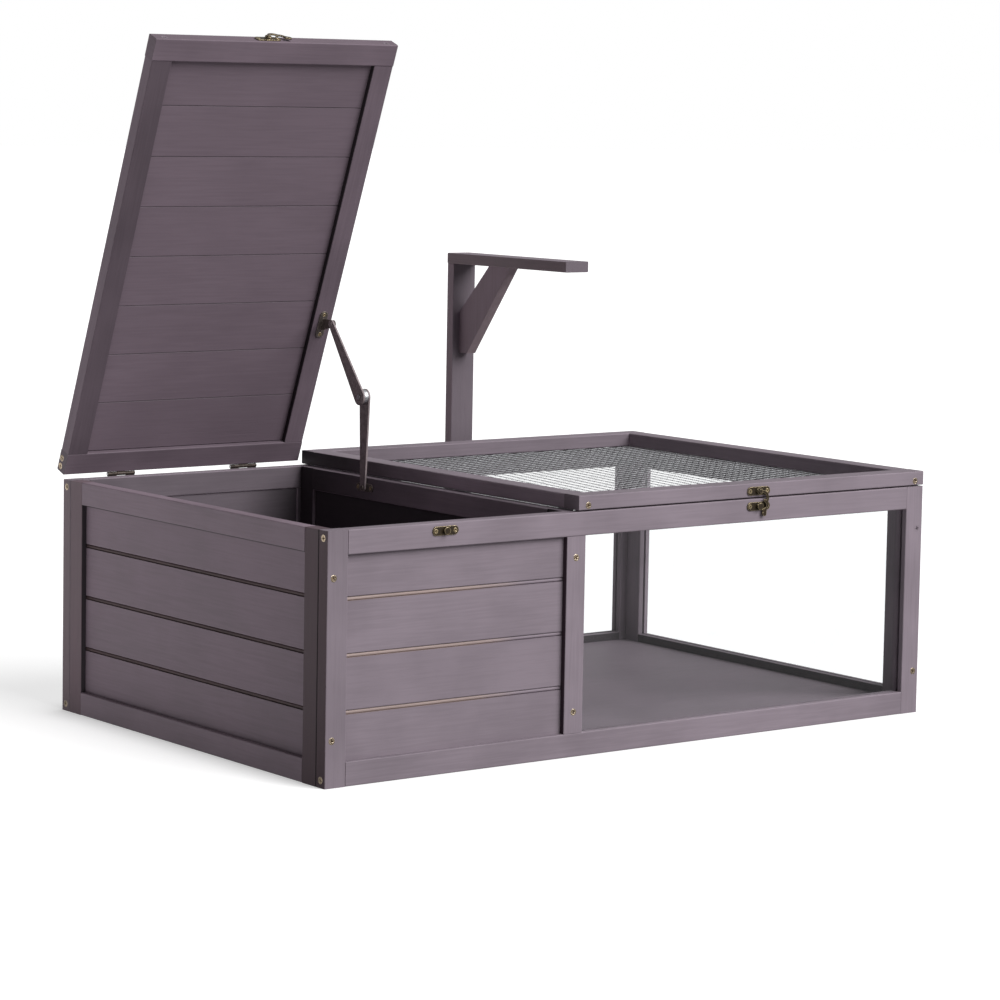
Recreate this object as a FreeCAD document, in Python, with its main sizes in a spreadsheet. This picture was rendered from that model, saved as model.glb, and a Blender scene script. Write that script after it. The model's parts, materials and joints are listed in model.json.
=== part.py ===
"""Tortoise house: a boarded hide and a glazed run under two hinged lids, with a lamp stand behind the run.

The origin is on the ground, in the middle of the four walls. X runs to the right, Y to the back, Z up.
Every piece is modelled where it lies with both lids shut.
The pieces of the hide's lid are then turned open.
"""
import FreeCAD, Part
import math
import os
import re

import Sketcher

# Driving dimensions, in millimetres, degrees and counts
SIZES = {
    # Walls
    "house_width": "940",
    "house_depth": "596",
    "wall_height": "298",
    "hide_width": "363",
    "frame_face": "29",
    "frame_thick": "18",
    "edge_ease": "1.5",
    "face_recess": "7",
    # Boards and windows that fill the frames
    "board_thick": "9",
    "board_bevel": "0.8",
    "board_gap": "5",
    "bead_radius": "2.2",
    "wall_cover": "66",
    "lid_cover": "67.8",
    "tongue_thick": "3",
    "pane_thick": "3",
    "groove_depth": "8",
    "groove_play": "0.2",
    "end_play": "0.4",
    # Floor and doorway
    "floor_thick": "6",
    "floor_play": "0.5",
    "bearer_height": "12",
    "bearer_face": "29",
    "bearer_pitch": "300",
    "door_width": "200",
    "door_height": "150",
    # Lids
    "lid_gap": "1.6",
    "lid_split": "6",
    "lid_inset": "2",
    "hide_setback": "0.3",
    "mesh_setback": "0.3",
    "lid_angle": "68.6",
    "net_wire": "2",
    "net_thick": "1.2",
    "net_lap": "14",
    "net_columns": "16",
    "net_rows": "17",
    # Butt hinges
    "hinge_width": "40",
    "hinge_inset": "86",
    "hinge_reach": "3",
    "leaf_height": "16",
    "leaf_thick": "1.2",
    "leaf_screw": "9.6",
    "barrel_radius": "2.5",
    "barrel_lift": "0.3",
    "knuckle_gap": "0.4",
    "pin_radius": "1.2",
    "pin_play": "0.05",
    # Latches
    "plate_long": "37",
    "plate_high": "10.5",
    "plate_thick": "1.5",
    "plate_round": "5.1",
    "plate_screw": "14",
    "hide_latch_shift": "-14",
    "latch_drop": "0.9",
    "strike_drop": "9.5",
    "hook_gap": "0.8",
    "hook_thick": "1.8",
    "hook_play": "0.3",
    "hook_band": "3.4",
    "hook_eye": "4.4",
    "hook_pin": "1.6",
    "boss_radius": "3.6",
    "rivet_cap": "2.6",
    "hook_bow": "10.2",
    "hook_bow_shift": "1",
    "hook_bow_drop": "10.5",
    "hook_tail": "10.5",
    "hook_tail_lean": "2.5",
    "hook_tail_radius": "3.2",
    "hook_lip": "4",
    "hook_release": "20",
    "hook_swing": "90",
    "stud_radius": "2.2",
    "stud_play": "1.8",
    "stud_cap": "4.2",
    "cap_radius": "3.4",
    "cap_thick": "1",
    # Lid stay
    "foot_reach": "167.8",
    "foot_drop": "13.3",
    "head_reach": "214.4",
    "head_drop": "24.4",
    "lower_length": "118.4",
    "upper_length": "112.4",
    "arm_thick": "2.5",
    "arm_small": "5",
    "arm_big": "10.6",
    "drum_radius": "10.2",
    "drum_length": "5.5",
    "stay_gap": "0.5",
    "rivet_radius": "2",
    "rivet_play": "0.05",
    "bracket_wide": "12",
    "bracket_shift": "12",
    "tab_thick": "2",
    "tab_wide": "17",
    # Lamp stand
    "lamp_width": "38",
    "lamp_thick": "14.5",
    "lamp_standoff": "24",
    "lamp_height": "562",
    "lamp_reach": "249.5",
    "brace_back": "66",
    "brace_front": "113",
    "brace_shoulder": "67",
    "brace_drop": "124",
    "brace_toe": "18",
    "brace_screw_in": "14",
    "brace_screw_down": "95",
    "arm_screw_pitch": "20",
    # Screws
    "wood_head": "4.3",
    "wood_shank": "1.8",
    "wood_sink": "2.5",
    "wood_length": "38",
    "wood_tip": "4",
    "post_length": "55",
    "trim_head": "2.6",
    "trim_shank": "1.2",
    "trim_length": "12",
    "trim_tip": "2.5",
    "screw_play": "0.1",
    "corner_screw": "55",
    "end_screw": "9",
    "lid_screw_shift": "3.5",
    "lid_end_near": "7",
    "lid_end_far": "18",
}

# Places worked out from the driving dimensions
PLACES = {
    "left": "-house_width / 2",
    "right": "house_width / 2",
    "front": "-house_depth / 2",
    "back": "house_depth / 2",
    "in_left": "left + frame_thick",
    "in_right": "right - frame_thick",
    "in_front": "front + frame_thick",
    "in_back": "back - frame_thick",
    "low_edge": "frame_face",
    "high_edge": "wall_height - frame_face",
    "grip": "groove_depth - end_play",
    # The partition and the middle posts in front of it and behind it
    "part_mid": "left + hide_width",
    "part_left": "part_mid - frame_thick / 2",
    "part_right": "part_mid + frame_thick / 2",
    "post_left": "part_mid - frame_face / 2",
    "post_right": "part_mid + frame_face / 2",
    "floor_top": "bearer_height + floor_thick",
    "door_top": "floor_top + door_height",
    "door_front": "-door_width / 2",
    "door_back": "door_width / 2",
    "lintel_top": "door_top + frame_face",
    # Lids, shut
    "lid_low": "wall_height + lid_gap",
    "lid_high": "lid_low + frame_thick",
    "lid_mid": "lid_low + frame_thick / 2",
    "lid_back": "back - lid_inset",
    "hide_front": "front + hide_setback",
    "hide_right": "part_mid - lid_split / 2",
    "mesh_front": "front + mesh_setback",
    "mesh_left": "part_mid + lid_split / 2",
    # Hinge axis
    "axis_y": "lid_back + hinge_reach",
    "axis_z": "wall_height + barrel_radius + barrel_lift",
    "knuckle_half": "hinge_width / 6",
    # Latches
    "hide_latch": "(left + hide_right) / 2 + hide_latch_shift",
    "mesh_latch": "(mesh_left + right) / 2",
    "latch_z": "lid_mid - latch_drop",
    "strike_face": "front - plate_thick",
    "strike_z": "wall_height - strike_drop",
    "hook_back": "strike_face - hook_gap",
    "hook_face": "hook_back - hook_thick",
    "ring_inner": "stud_radius + stud_play",
    "ring_outer": "ring_inner + hook_band",
    # Lid stay, with its layers from the partition to the left
    "foot_y": "axis_y - foot_reach",
    "foot_z": "wall_height - foot_drop",
    "head_y": "lid_back - head_reach",
    "head_z": "lid_low - head_drop",
    "foot_face": "part_left - plate_thick",
    "lower_right": "foot_face - stay_gap",
    "lower_left": "lower_right - arm_thick",
    "drum_left": "lower_left - drum_length",
    "upper_right": "drum_left - stay_gap",
    "upper_left": "upper_right - arm_thick",
    "tab_left": "upper_right + stay_gap",
    "tab_mid": "tab_left + tab_thick / 2",
    # Lamp stand
    "lamp_mid": "mesh_latch",
    "lamp_left": "lamp_mid - lamp_width / 2",
    "lamp_right": "lamp_mid + lamp_width / 2",
    "lamp_front": "back + lamp_standoff",
    "lamp_back": "lamp_front + lamp_thick",
    "lamp_tip": "lamp_front - lamp_reach",
    "lamp_top": "lamp_height + lamp_thick",
    # The small screws' heads end inside the hinge leaves
    "trim_sink": "leaf_thick - screw_play",
    # The lamp post's long screws are otherwise like the wood screws
    "post_head": "wood_head",
    "post_shank": "wood_shank",
    "post_sink": "wood_sink",
    "post_tip": "wood_tip",
}

AXES = {"x": FreeCAD.Vector(1, 0, 0), "y": FreeCAD.Vector(0, 1, 0), "z": FreeCAD.Vector(0, 0, 1)}
RIGHTWARD = (1, 0, 0)
LEFTWARD = (-1, 0, 0)
BACKWARD = (0, 1, 0)
FORWARD = (0, -1, 0)
UPWARD = (0, 0, 1)
DOWNWARD = (0, 0, -1)
LID_OPEN = "placement(vector(0; 0; 0); rotation(vector(1; 0; 0); -lid_angle); vector(0; axis_y; axis_z))"

doc = FreeCAD.newDocument("tortoise_house")
sizes = doc.addObject("Spreadsheet::Sheet", "Sizes")
places = doc.addObject("Spreadsheet::Sheet", "Places")
nodes = []


def tied(text, own_sheet="Places."):
    """An expression with each name led to the sheet that holds it."""
    owners = {**dict.fromkeys(SIZES, "Sizes."), **dict.fromkeys(PLACES, own_sheet)}
    return re.sub(r"[a-z][a-z_]+", lambda found: owners.get(found[0], "") + found[0], text)


def fill_sheets():
    """Write the driving dimensions, and the places that follow from them."""
    for row, (name, text) in enumerate(SIZES.items(), 1):
        sizes.set(f"A{row}", text)
        sizes.setAlias(f"A{row}", name)
    for row, (name, text) in enumerate(PLACES.items(), 1):
        places.set(f"A{row}", "=" + tied(text, own_sheet=""))
        places.setAlias(f"A{row}", name)
    doc.recompute()


def value(name):
    """The number that a sheet holds under a name."""
    sheet = sizes if name in SIZES else places
    return float(sheet.get(name))


def tie(thing, prop, text):
    """Bind a property to the sheets."""
    thing.setExpression(prop, tied(text))


def new_body(label):
    """An empty body for one solid."""
    body = doc.addObject("PartDesign::Body", label)
    body.Label = label
    return body


def node(thing, opening=None):
    """Take a finished object into the list of sub-parts, turned open if it rides on the hide's lid."""
    if opening:
        tie(thing, "Placement", opening)
    nodes.append(thing)
    return thing


def group(label, members, opening=None):
    """Several solids under one name."""
    compound = doc.addObject("Part::Compound", label)
    compound.Label = label
    compound.Links = members
    return node(compound, opening)


def spot(order, *coordinates):
    """Coordinates given in any order of axes, put in the order x, y, z."""
    by_axis = dict(zip(order, coordinates))
    return tuple(by_axis[axis] for axis in "xyz")


def aimed(aim):
    """A placement at the origin that turns Z to an aim."""
    return FreeCAD.Placement(FreeCAD.Vector(), FreeCAD.Rotation(AXES["z"], FreeCAD.Vector(*aim)))


def box(body, kind, low, high):
    """A box between two corners, added to a body or cut from it."""
    feature = body.newObject(f"PartDesign::{kind}Box", kind + "Box")
    for axis, side, start, end in zip("xyz", ("Length", "Width", "Height"), low, high):
        tie(feature, f"Placement.Base.{axis}", start)
        tie(feature, side, f"({end}) - ({start})")
    return feature


def rod(body, kind, base, aim, radius, length):
    """A cylinder from a base point along an aim, added to a body or cut from it."""
    feature = body.newObject(f"PartDesign::{kind}Cylinder", kind + "Rod")
    feature.Placement = aimed(aim)
    for axis, place in zip("xyz", base):
        tie(feature, f"Placement.Base.{axis}", place)
    tie(feature, "Radius", radius)
    tie(feature, "Height", length)
    return feature


def sink(body, base, aim, head, shank, depth):
    """A countersink cut into a body."""
    feature = body.newObject("PartDesign::SubtractiveCone", "Sink")
    feature.Placement = aimed(aim)
    for axis, place in zip("xyz", base):
        tie(feature, f"Placement.Base.{axis}", place)
    tie(feature, "Radius1", head)
    tie(feature, "Radius2", shank)
    tie(feature, "Height", depth)


def ease(body, kind, prop, amount, axis):
    """Round or bevel the edges of the newest feature that run along one axis."""
    doc.recompute()
    base = body.Tip
    edges = []
    for number, edge in enumerate(base.Shape.Edges, 1):
        if abs(edge.tangentAt(edge.FirstParameter).dot(AXES[axis])) > 0.999:
            edges.append(f"Edge{number}")
    trim = body.newObject(f"PartDesign::{kind}", kind)
    trim.Base = (base, edges)
    tie(trim, prop, amount)


def drawing(body, plane, corners):
    """A closed sketch with straight sides on an origin plane, each corner bound to the sheets."""
    sketch = body.newObject("Sketcher::SketchObject", "Drawing")
    support = next(item for item in body.Origin.OriginFeatures if item.Role == plane)
    sketch.AttachmentSupport = [(support, "")]
    sketch.MapMode = "FlatFace"
    points = []
    for corner in corners:
        points.append(FreeCAD.Vector(*(sketch.evalExpression(tied(text)) for text in corner), 0))
    count = len(points)
    for index, point in enumerate(points):
        sketch.addGeometry(Part.LineSegment(point, points[(index + 1) % count]))
    for index, (point, corner) in enumerate(zip(points, corners)):
        sketch.addConstraint(Sketcher.Constraint("Coincident", index, 2, (index + 1) % count, 1))
        for way, distance, text in zip(("DistanceX", "DistanceY"), point, corner):
            rule = sketch.addConstraint(Sketcher.Constraint(way, -1, 1, index, 1, distance))
            tie(sketch, f"Constraints[{rule}]", text)
    return sketch


def outline(body, plane, corners, start, length):
    """A flat plate with straight sides, padded from a level along the normal of an origin plane."""
    sketch = drawing(body, plane, corners)
    tie(sketch, "AttachmentOffset.Base.z", start)
    pad = body.newObject("PartDesign::Pad", "Plate")
    pad.Profile = sketch
    tie(pad, "Length", length)
    return pad


def stick(label, order, along, across, thick, cuts=()):
    """A length of planed frame stock with eased long edges, and the grooves cut into it."""
    body = new_body(label)
    box(body, "Additive", spot(order, along[0], across[0], thick[0]),
        spot(order, along[1], across[1], thick[1]))
    ease(body, "Fillet", "Radius", "edge_ease", order[0])
    for low, high in cuts:
        box(body, "Subtractive", low, high)
    return body


def boards(label, order, along, stack, thick, cover, outer):
    """Tongued boards side by side: each covers one width, and the last is ripped to meet the far rail.

    On the outer face, low or high, each joint is an open gap with a round bead on the tongue at its bottom.
    """
    start, end = (sizes.evalExpression(tied(text)) for text in stack)
    count = max(1, round((end - start) / value(cover)))
    middle = f"(({thick[0]}) + ({thick[1]})) / 2"
    tongue = (f"{middle} - tongue_thick / 2", f"{middle} + tongue_thick / 2")
    groove = (f"{tongue[0]} - groove_play", f"{tongue[1]} + groove_play")
    lip = (thick[0], tongue[0]) if outer == "low" else (tongue[1], thick[1])
    bead_level = tongue[0] if outer == "low" else tongue[1]
    bead_aim = RIGHTWARD if order[0] == "x" else BACKWARD
    made = []
    for number in range(count):
        near = f"{stack[0]} + {number} * {cover}"
        far = stack[1] if number == count - 1 else f"{stack[0]} + {number + 1} * {cover}"
        body = new_body(f"{label}_{number + 1}")
        box(body, "Additive", spot(order, along[0], near, thick[0]), spot(order, along[1], far, thick[1]))
        ease(body, "Chamfer", "Size", "board_bevel", order[0])
        if number:
            box(body, "Subtractive", spot(order, along[0], near, groove[0]),
                spot(order, along[1], f"{near} + groove_depth", groove[1]))
        if number < count - 1:
            box(body, "Subtractive", spot(order, along[0], f"{far} - board_gap", lip[0]),
                spot(order, along[1], far, lip[1]))
            rod(body, "Additive", spot(order, along[0], f"{far} - board_gap / 2", bead_level), bead_aim,
                "bead_radius", f"({along[1]}) - ({along[0]})")
        root = f"{far} - board_bevel"
        box(body, "Additive", spot(order, along[0], root, tongue[0]),
            spot(order, along[1], f"{far} + grip", tongue[1]))
        made.append(body)
    return made


def wall(name, run, face, inward, ends, bays):
    """One wall: two stiles, a top and a bottom rail, a post between two bays, and what fills each bay."""
    depth = "y" if run == "x" else "x"
    level = run + "z" + depth
    upright = "z" + run + depth
    thickness = {"boards": "board_thick", "window": "pane_thick"}

    def below_face(near, far):
        pair = [f"{face} {inward} ({near})", f"{face} {inward} ({far})"]
        return pair if inward == "+" else pair[::-1]

    def groove(bay, along, height):
        kind = bay[0]
        room = below_face("face_recess - groove_play", f"face_recess + {thickness[kind]} + groove_play")
        return (spot(level, along[0], height[0], room[0]), spot(level, along[1], height[1], room[1]))

    def rail_grooves(height):
        return [groove(bay, (f"{bay[1]} - groove_depth", f"{bay[2]} + groove_depth"), height)
                for bay in bays]

    start, end = ends
    span = below_face("0", "frame_thick")
    tall = ("low_edge - groove_depth", "high_edge + groove_depth")
    inside = (f"{start} + frame_face", f"{end} - frame_face")
    first, last = bays[0], bays[-1]
    made = {
        "start_stile": stick(f"{name}_start_stile", upright, ("0", "wall_height"), (start, inside[0]), span,
                             [groove(first, (f"{first[1]} - groove_depth", first[1]), tall)]),
        "end_stile": stick(f"{name}_end_stile", upright, ("0", "wall_height"), (inside[1], end), span,
                           [groove(last, (last[2], f"{last[2]} + groove_depth"), tall)]),
        "top_rail": stick(f"{name}_top_rail", level, inside, ("high_edge", "wall_height"), span,
                          rail_grooves(("high_edge", "high_edge + groove_depth"))),
        "bottom_rail": stick(f"{name}_bottom_rail", level, inside, ("0", "low_edge"), span,
                             rail_grooves(("low_edge - groove_depth", "low_edge"))),
    }
    if len(bays) == 2:
        made["middle_post"] = stick(
            f"{name}_middle_post", upright, ("low_edge", "high_edge"), (first[2], last[1]), span,
            [groove(first, (first[2], f"{first[2]} + groove_depth"), tall),
             groove(last, (f"{last[1]} - groove_depth", last[1]), tall)])
    for kind, bay_start, bay_end in bays:
        along = (f"{bay_start} - grip", f"{bay_end} + grip")
        filling = below_face("face_recess", f"face_recess + {thickness[kind]}")
        if kind == "boards":
            outer = "low" if inward == "+" else "high"
            group(f"{name}_boards", boards(f"{name}_board", level, along, ("low_edge - grip", "high_edge"),
                                           filling, "wall_cover", outer))
        else:
            pane = new_body(f"{name}_window")
            box(pane, "Additive", spot(level, along[0], "low_edge - grip", filling[0]),
                spot(level, along[1], "high_edge + grip", filling[1]))
            node(pane)
    return made


def long_wall(name, face, inward):
    """The front or back wall: boards before the hide, a window before the run."""
    bays = [("boards", "left + frame_face", "post_left"), ("window", "post_right", "right - frame_face")]
    made = wall(name, "x", face, inward, ("left", "right"), bays)
    made["start_stile"].Label = f"{name}_left_stile"
    made["end_stile"].Label = f"{name}_right_stile"
    for body in made.values():
        node(body)
    return made


def end_wall(name, face, inward, filling):
    """The left or right wall, which stands between the front and back walls."""
    bays = [(filling, "in_front + frame_face", "in_back - frame_face")]
    made = wall(name, "y", face, inward, ("in_front", "in_back"), bays)
    group(f"{name}_stiles", [made["start_stile"], made["end_stile"]])
    node(made["top_rail"])
    node(made["bottom_rail"])
    return made


def partition():
    """The inner wall between hide and run, with a doorway at the floor."""
    span = ("part_left", "part_right")
    board = ("part_mid - board_thick / 2", "part_mid + board_thick / 2")
    slot = (f"{board[0]} - groove_play", f"{board[1]} + groove_play")
    stile_in = ("in_front + frame_face", "in_back - frame_face")

    def groove(along, height):
        return (spot("yzx", along[0], height[0], slot[0]), spot("yzx", along[1], height[1], slot[1]))

    full = ("floor_top", "wall_height")
    tall = ("floor_top", "high_edge + groove_depth")
    low = ("floor_top", "door_top + groove_depth")
    run = (f"{stile_in[0]} - groove_depth", f"{stile_in[1]} + groove_depth")
    front_stile = stick("partition_front_stile", "zyx", full, ("in_front", stile_in[0]), span,
                        [groove((f"{stile_in[0]} - groove_depth", stile_in[0]), tall)])
    back_stile = stick("partition_back_stile", "zyx", full, (stile_in[1], "in_back"), span,
                       [groove((stile_in[1], f"{stile_in[1]} + groove_depth"), tall)])
    top_rail = stick("partition_top_rail", "yzx", stile_in, ("high_edge", "wall_height"), span,
                     [groove(run, ("high_edge", "high_edge + groove_depth"))])
    lintel = stick("partition_lintel", "yzx", stile_in, ("door_top", "lintel_top"), span,
                   [groove(run, ("lintel_top - groove_depth", "lintel_top")),
                    groove(run, ("door_top", "door_top + groove_depth"))])
    front_post = stick("partition_front_post", "zyx", ("floor_top", "door_top"),
                       ("door_front - frame_face", "door_front"), span,
                       [groove(("door_front - frame_face", "door_front - frame_face + groove_depth"), low)])
    back_post = stick("partition_back_post", "zyx", ("floor_top", "door_top"),
                      ("door_back", "door_back + frame_face"), span,
                      [groove(("door_back + frame_face - groove_depth", "door_back + frame_face"), low)])
    over_door = (f"{stile_in[0]} - grip", f"{stile_in[1]} + grip")
    before_door = (f"{stile_in[0]} - grip", "door_front - frame_face + grip")
    behind_door = ("door_back + frame_face - grip", f"{stile_in[1]} + grip")
    above = ("lintel_top - grip", "high_edge")
    beside = ("floor_top", "door_top")
    made = boards("partition_upper", "yzx", over_door, above, board, "wall_cover", "high")
    made += boards("partition_front", "yzx", before_door, beside, board, "wall_cover", "high")
    made += boards("partition_back", "yzx", behind_door, beside, board, "wall_cover", "high")
    group("partition_stiles", [front_stile, back_stile])
    group("partition_door_posts", [front_post, back_post])
    group("partition_boards", made)
    node(top_rail)
    node(lintel)
    return {"front_stile": front_stile, "back_stile": back_stile, "top_rail": top_rail}


def floor():
    """The floor panel between the walls, on three bearers that stand on the ground."""
    panel = new_body("floor_panel")
    box(panel, "Additive", ("in_left + floor_play", "in_front + floor_play", "bearer_height"),
        ("in_right - floor_play", "in_back - floor_play", "floor_top"))
    node(panel)
    bearers = []
    for number in (-1, 0, 1):
        middle = f"{number} * bearer_pitch"
        across = (f"{middle} - bearer_face / 2", f"{middle} + bearer_face / 2")
        bearers.append(stick(f"floor_bearer_{number + 2}", "yxz", ("in_front", "in_back"), across,
                             ("0", "bearer_height")))
    group("floor_bearers", bearers)


def lid_frame(name, left_side, front_side, right_side, opening, grooved):
    """A lid's four rails: the front and back rails run across, the side rails stand between them."""
    inside = (f"{front_side} + frame_face", "lid_back - frame_face")
    board = ("lid_low + face_recess", "lid_low + face_recess + board_thick")
    slot = (f"{board[0]} - groove_play", f"{board[1]} + groove_play")
    thick = ("lid_low", "lid_high")
    full = (left_side, right_side)
    wide = (f"{left_side} + frame_face", f"{right_side} - frame_face")

    def groove(across, along):
        if not grooved:
            return []
        return [((across[0], along[0], slot[0]), (across[1], along[1], slot[1]))]

    cross_run = (f"{wide[0]} - groove_depth", f"{wide[1]} + groove_depth")
    made = {
        "front_rail": stick(f"{name}_front_rail", "xyz", full, (front_side, inside[0]), thick,
                            groove(cross_run, (f"{inside[0]} - groove_depth", inside[0]))),
        "back_rail": stick(f"{name}_back_rail", "xyz", full, (inside[1], "lid_back"), thick,
                           groove(cross_run, (inside[1], f"{inside[1]} + groove_depth"))),
        "left_rail": stick(f"{name}_left_rail", "yxz", inside, (left_side, wide[0]), thick,
                           groove((f"{wide[0]} - groove_depth", wide[0]), inside)),
        "right_rail": stick(f"{name}_right_rail", "yxz", inside, (wide[1], right_side), thick,
                            groove((wide[1], f"{wide[1]} + groove_depth"), inside)),
    }
    if grooved:
        across = (f"{wide[0]} - grip", f"{wide[1]} + grip")
        group(f"{name}_boards", boards(f"{name}_board", "xyz", across, (f"{inside[0]} - grip", inside[1]),
                                       board, "lid_cover", "high"), opening)
    node(made["front_rail"], opening)
    node(made["back_rail"], opening)
    group(f"{name}_side_rails", [made["left_rail"], made["right_rail"]], opening)
    return made


def wire_mesh():
    """The mesh lid's net under its frame: one flat sheet with rows of six-sided gaps.

    Every second row is shifted by half a gap, and each row reaches a third of its pitch into the next.
    """
    left_side = value("mesh_left") + value("frame_face") - value("net_lap")
    right_side = value("right") - value("frame_face") + value("net_lap")
    front_side = value("mesh_front") + value("frame_face") - value("net_lap")
    back_side = value("lid_back") - value("frame_face") + value("net_lap")
    columns = int(value("net_columns"))
    rows = int(value("net_rows"))
    wire = value("net_wire")
    pitch_x = (right_side - left_side - wire) / (columns + 0.5)
    pitch_y = (back_side - front_side - wire) / (rows + 1 / 3)
    half_x = (pitch_x - wire) / 2
    half_y = (pitch_y * 4 / 3 - wire) / 2
    level = value("lid_low") - value("net_thick")
    corners = [(0, 1), (1, 0.5), (1, -0.5), (0, -1), (-1, -0.5), (-1, 0.5)]
    gaps = []
    for row in range(rows):
        middle_y = front_side + wire / 2 + (row + 2 / 3) * pitch_y
        for column in range(columns):
            middle_x = left_side + wire / 2 + (column + 0.5 + row % 2 / 2) * pitch_x
            ring = [FreeCAD.Vector(middle_x + half_x * x, middle_y + half_y * y, level) for x, y in corners]
            gaps.append(Part.makePolygon(ring + ring[:1]))
    edge = [(left_side, front_side), (right_side, front_side),
            (right_side, back_side), (left_side, back_side)]
    border = [FreeCAD.Vector(x, y, level) for x, y in edge]
    face = Part.Face([Part.makePolygon(border + border[:1])] + gaps)
    net = doc.addObject("Part::Feature", "wire_mesh")
    net.Label = "wire_mesh"
    net.Shape = face.extrude(FreeCAD.Vector(0, 0, value("net_thick")))
    node(net)


def screw_blank(kind):
    """A countersunk screw that points up, with the flat of its head at the origin."""
    body = new_body(f"{kind}_screw")
    sketch = drawing(body, "XZ_Plane", [
        ("0", "0"), (f"{kind}_head", "0"), (f"{kind}_shank", f"{kind}_sink"),
        (f"{kind}_shank", f"{kind}_length - {kind}_tip"), ("0", f"{kind}_length")])
    doc.recompute()
    turned = body.newObject("PartDesign::Revolution", "Turned")
    turned.Profile = sketch
    turned.ReferenceAxis = (sketch, ["V_Axis"])
    turned.Angle = 360
    doc.recompute()
    return body


def screw(kind, base, aim, bodies):
    """One screw and its hole in each body that it goes through, countersunk in the first."""
    link = doc.addObject("App::Link", f"{kind}_screw_copy")
    link.LinkedObject = blanks[kind]
    link.LinkTransform = False
    link.Placement = aimed(aim)
    for axis, place in zip("xyz", base):
        tie(link, f"Placement.Base.{axis}", place)
    shank = f"{kind}_shank + screw_play"
    for body in bodies:
        rod(body, "Subtractive", base, aim, shank, f"{kind}_length + screw_play")
    sink(bodies[0], base, aim, f"{kind}_head + screw_play", shank, f"{kind}_sink + screw_play")
    return link


def carcase_screws():
    """Wood screws that hold the walls, the partition and the lamp stand together."""
    heights = ("corner_screw", "wall_height - corner_screw")
    ends = ("end_screw", "wall_height - end_screw")
    made = []
    for walls, face, aim, stile, inner_stile, middle in (
            (front_wall, "front", BACKWARD, "start_stile", "front_stile", "front + frame_thick / 2"),
            (back_wall, "back", FORWARD, "end_stile", "back_stile", "back - frame_thick / 2")):
        for height in heights:
            made.append(screw("wood", ("left + frame_thick / 2", face, height), aim,
                              [walls["start_stile"], left_wall[stile]]))
            made.append(screw("wood", ("right - frame_thick / 2", face, height), aim,
                              [walls["end_stile"], right_wall[stile]]))
            made.append(screw("wood", ("part_mid", face, height), aim,
                              [walls["middle_post"], inner_wall[inner_stile]]))
        for height, rail in zip(ends, ("bottom_rail", "top_rail")):
            made.append(screw("wood", ("left", middle, height), RIGHTWARD,
                              [walls["start_stile"], walls[rail]]))
            made.append(screw("wood", ("right", middle, height), LEFTWARD,
                              [walls["end_stile"], walls[rail]]))
    for height, block, rail in zip(("frame_face / 2", "wall_height - frame_face / 2"), lamp["spacers"],
                                   ("bottom_rail", "top_rail")):
        made.append(screw("post", ("lamp_mid", "lamp_back", height), FORWARD,
                          [lamp["post"], block, back_wall[rail]]))
    for side in ("-", "+"):
        across = f"lamp_mid {side} arm_screw_pitch / 2"
        made.append(screw("wood", (across, "lamp_back - lamp_thick / 2", "lamp_top"), DOWNWARD,
                          [lamp["arm"], lamp["post"]]))
    made.append(screw("wood", ("lamp_mid", "lamp_front - brace_back - brace_screw_in", "lamp_top"),
                      DOWNWARD, [lamp["arm"], lamp["brace"]]))
    made.append(screw("wood", ("lamp_mid", "lamp_back", "lamp_height - brace_screw_down"), FORWARD,
                      [lamp["post"], lamp["brace"]]))
    group("house_screws", made)


def lamp_stand():
    """The post behind the run on two spacer blocks, the arm on its top and the brace under the arm."""
    wide = ("lamp_left", "lamp_right")
    post = stick("lamp_post", "zxy", ("0", "lamp_height"), wide, ("lamp_front", "lamp_back"))
    arm = stick("lamp_arm", "yxz", ("lamp_tip", "lamp_back"), wide, ("lamp_height", "lamp_top"))
    spacers = []
    for number, height in enumerate((("0", "low_edge"), ("high_edge", "wall_height")), 1):
        spacers.append(stick(f"lamp_spacer_{number}", "xzy", wide, height, ("back", "lamp_front")))
    brace = new_body("lamp_brace")
    corners = [("lamp_front", "lamp_height - brace_shoulder"),
               ("lamp_front - brace_back", "lamp_height"),
               ("lamp_front - brace_front", "lamp_height"),
               ("lamp_front - brace_toe", "lamp_height - brace_drop"),
               ("lamp_front", "lamp_height - brace_drop")]
    outline(brace, "YZ_Plane", corners, "lamp_mid - lamp_thick / 2", "lamp_thick")
    for body in (post, arm, brace):
        node(body)
    group("lamp_spacers", spacers)
    return {"post": post, "arm": arm, "brace": brace, "spacers": spacers}


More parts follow.
